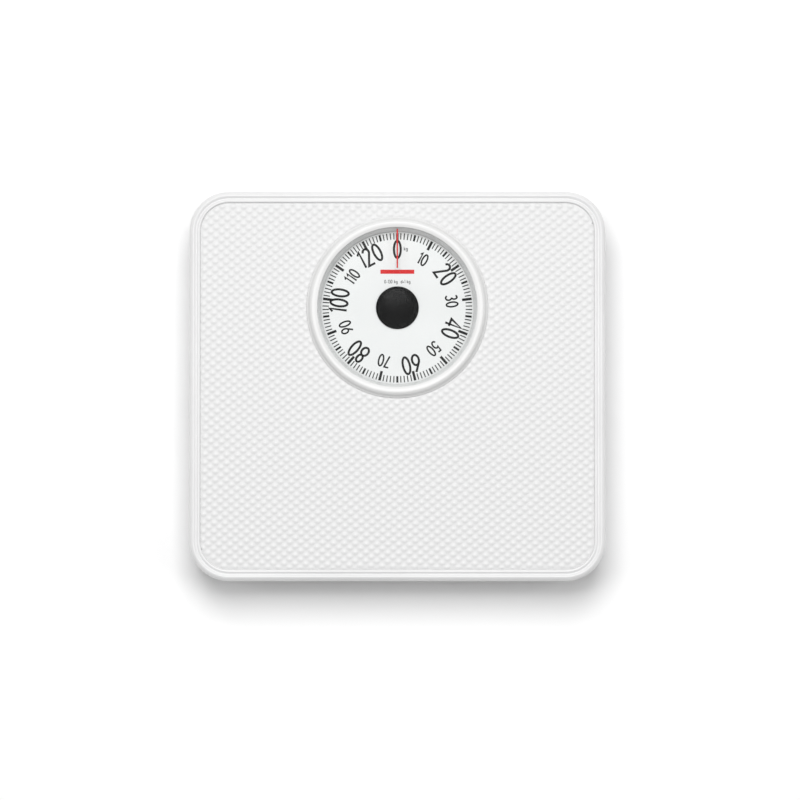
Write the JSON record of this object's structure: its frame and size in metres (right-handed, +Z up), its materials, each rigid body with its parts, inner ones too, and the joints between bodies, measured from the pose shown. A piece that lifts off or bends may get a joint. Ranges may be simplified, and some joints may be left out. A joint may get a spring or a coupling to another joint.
{
  "type": "mechanical dial bathroom scale",
  "caption": "Low square mechanical bathroom scale: ribbed-edge steel platform with a textured mat, round kilogram dial under a raised bezel, lever and spring movement inside.",
  "frame": {"origin": "middle of the body's outline, on the surface that the four feet stand on", "axes": "+X to the right across the platform, +Y towards the dial end, +Z up"},
  "size_m": [0.28, 0.262, 0.0516],
  "materials": {
    "white_enamel": "gloss white enamel on pressed steel",
    "white_plastic": "gloss white moulded plastic",
    "mat_vinyl": "off-white vinyl with a fine diamond lattice of raised dots",
    "dial_card": "white printed plastic disc, satin",
    "clear_plastic": "clear polished acrylic",
    "black_plastic": "black satin moulded plastic",
    "red_plastic": "red plastic hairline",
    "grey_plastic": "grey moulded plastic with a knurled rim",
    "black_rubber": "black rubber, matt",
    "zinc_steel": "zinc-plated pressed steel",
    "spring_steel": "oiled spring wire",
    "brass": "turned and punched brass"
  },
  "bodies": {
    "base": {"base_pan": "white_enamel", "foot_front_left": "black_rubber", "foot_front_right": "black_rubber", "foot_rear_left": "black_rubber", "foot_rear_right": "black_rubber", "fulcrum_front_left": "zinc_steel", "fulcrum_front_right": "zinc_steel", "fulcrum_rear_left": "zinc_steel", "fulcrum_rear_right": "zinc_steel", "fulcrum_rivet_front_left": "zinc_steel", "fulcrum_rivet_front_right": "zinc_steel", "fulcrum_rivet_rear_left": "zinc_steel", "fulcrum_rivet_rear_right": "zinc_steel", "dial_bridge": "zinc_steel", "bridge_screw_left": "zinc_steel", "bridge_screw_right": "zinc_steel", "spindle_bush": "brass", "spindle_cup": "brass", "rack_guide_pin": "zinc_steel", "crank_bracket": "zinc_steel", "crank_pin": "zinc_steel", "arm_bracket": "zinc_steel", "arm_pin": "zinc_steel", "wheel_bracket": "zinc_steel", "rack_spring_post": "zinc_steel", "main_spring": "spring_steel", "rack_spring": "spring_steel", "platform_spring_left": "spring_steel", "platform_spring_right": "spring_steel"},
    "zero_knob": {"zero_wheel": "grey_plastic", "zero_screw": "zinc_steel"},
    "zero_beam": {"zero_arm": "zinc_steel", "spring_nut": "brass"},
    "plate": {"spring_plate": "zinc_steel", "spring_seat": "brass"},
    "lever_front_left": {"long_lever_left": "zinc_steel"},
    "lever_front_right": {"long_lever_right": "zinc_steel"},
    "lever_rear_left": {"short_lever_left": "zinc_steel"},
    "lever_rear_right": {"short_lever_right": "zinc_steel"},
    "crank": {"bell_crank": "zinc_steel"},
    "rack_bar": {"rack": "brass"},
    "dial": {"dial_spindle": "zinc_steel", "pinion": "brass", "dial_hub": "brass", "dial_disc": "dial_card", "hub_cap": "black_plastic"},
    "platform": {"platform_cover": "white_enamel", "anti_slip_mat": "mat_vinyl", "dial_bezel": "white_plastic", "bezel_ring": "white_plastic", "dial_window": "clear_plastic", "pointer": "red_plastic", "platform_foot_front_left": "zinc_steel", "platform_foot_front_right": "zinc_steel", "platform_foot_rear_left": "zinc_steel", "platform_foot_rear_right": "zinc_steel", "spring_tab_left": "zinc_steel", "spring_tab_right": "zinc_steel"}
  },
  "joints": [
    {"name": "platform_sink", "type": "slide", "parent": "base", "child": "platform", "axis": [0, 0, -1], "range_m": [0, 0.0009], "deforming": ["platform_spring_left", "platform_spring_right"]},
    {"name": "dial_spin", "type": "hinge", "parent": "base", "child": "dial", "pos_m": [0, 0.053, 0.0399], "axis": [0, 0, 1], "range_deg": [-1, 361], "stiffness_Nm_per_rad": 0.02645, "springref_deg": -30},
    {"name": "rack_slide", "type": "slide", "parent": "base", "child": "rack_bar", "axis": [0, 1, 0], "range_m": [-0.00005, 0.01515], "deforming": ["rack_spring"]},
    {"name": "bell_crank_tilt", "type": "hinge", "parent": "base", "child": "crank", "pos_m": [0, 0.0873, 0.0143], "axis": [-1, 0, 0], "range_deg": [-0.2, 48.3]},
    {"name": "spring_plate_slide", "type": "slide", "parent": "base", "child": "plate", "axis": [0, 0, -1], "range_m": [-0.00002, 0.00603], "deforming": ["main_spring"]},
    {"name": "lever_front_left_tilt", "type": "hinge", "parent": "base", "child": "lever_front_left", "pos_m": [-0.104, -0.094, 0.016], "axis": [-0.912, 0.4101, 0], "range_deg": [-0.01, 1.55]},
    {"name": "lever_front_right_tilt", "type": "hinge", "parent": "base", "child": "lever_front_right", "pos_m": [0.104, -0.094, 0.016], "axis": [-0.912, -0.4101, 0], "range_deg": [-0.01, 1.55]},
    {"name": "lever_rear_left_tilt", "type": "hinge", "parent": "base", "child": "lever_rear_left", "pos_m": [-0.104, 0.094, 0.016], "axis": [0.912, 0.4101, 0], "range_deg": [-0.01, 1.55]},
    {"name": "lever_rear_right_tilt", "type": "hinge", "parent": "base", "child": "lever_rear_right", "pos_m": [0.104, 0.094, 0.016], "axis": [0.912, -0.4101, 0], "range_deg": [-0.01, 1.55]},
    {"name": "zero_wheel_spin", "type": "hinge", "parent": "base", "child": "zero_knob", "pos_m": [0.048, 0.112, 0.0106], "axis": [0, 0, 1], "range_deg": [-360, 360]},
    {"name": "zero_arm_tilt", "type": "hinge", "parent": "base", "child": "zero_beam", "pos_m": [-0.024, 0.1095, 0.03575], "axis": [0, 1, 0], "range_deg": [-0.65, 0.65]}
  ],
  "couplings": [
    {"joint": "dial_spin", "follows": "platform_sink", "rad_per_m": 6981.3},
    {"joint": "rack_slide", "follows": "platform_sink", "ratio": 16.755},
    {"joint": "bell_crank_tilt", "follows": "platform_sink", "rad_per_m": 930.84},
    {"joint": "spring_plate_slide", "follows": "platform_sink", "ratio": 6.6667},
    {"joint": "lever_front_left_tilt", "follows": "platform_sink", "rad_per_m": 29.879},
    {"joint": "lever_front_right_tilt", "follows": "platform_sink", "rad_per_m": 29.879},
    {"joint": "lever_rear_left_tilt", "follows": "platform_sink", "rad_per_m": 29.879},
    {"joint": "lever_rear_right_tilt", "follows": "platform_sink", "rad_per_m": 29.879},
    {"joint": "zero_arm_tilt", "follows": "zero_wheel_spin", "ratio": 0.0017684}
  ]
}
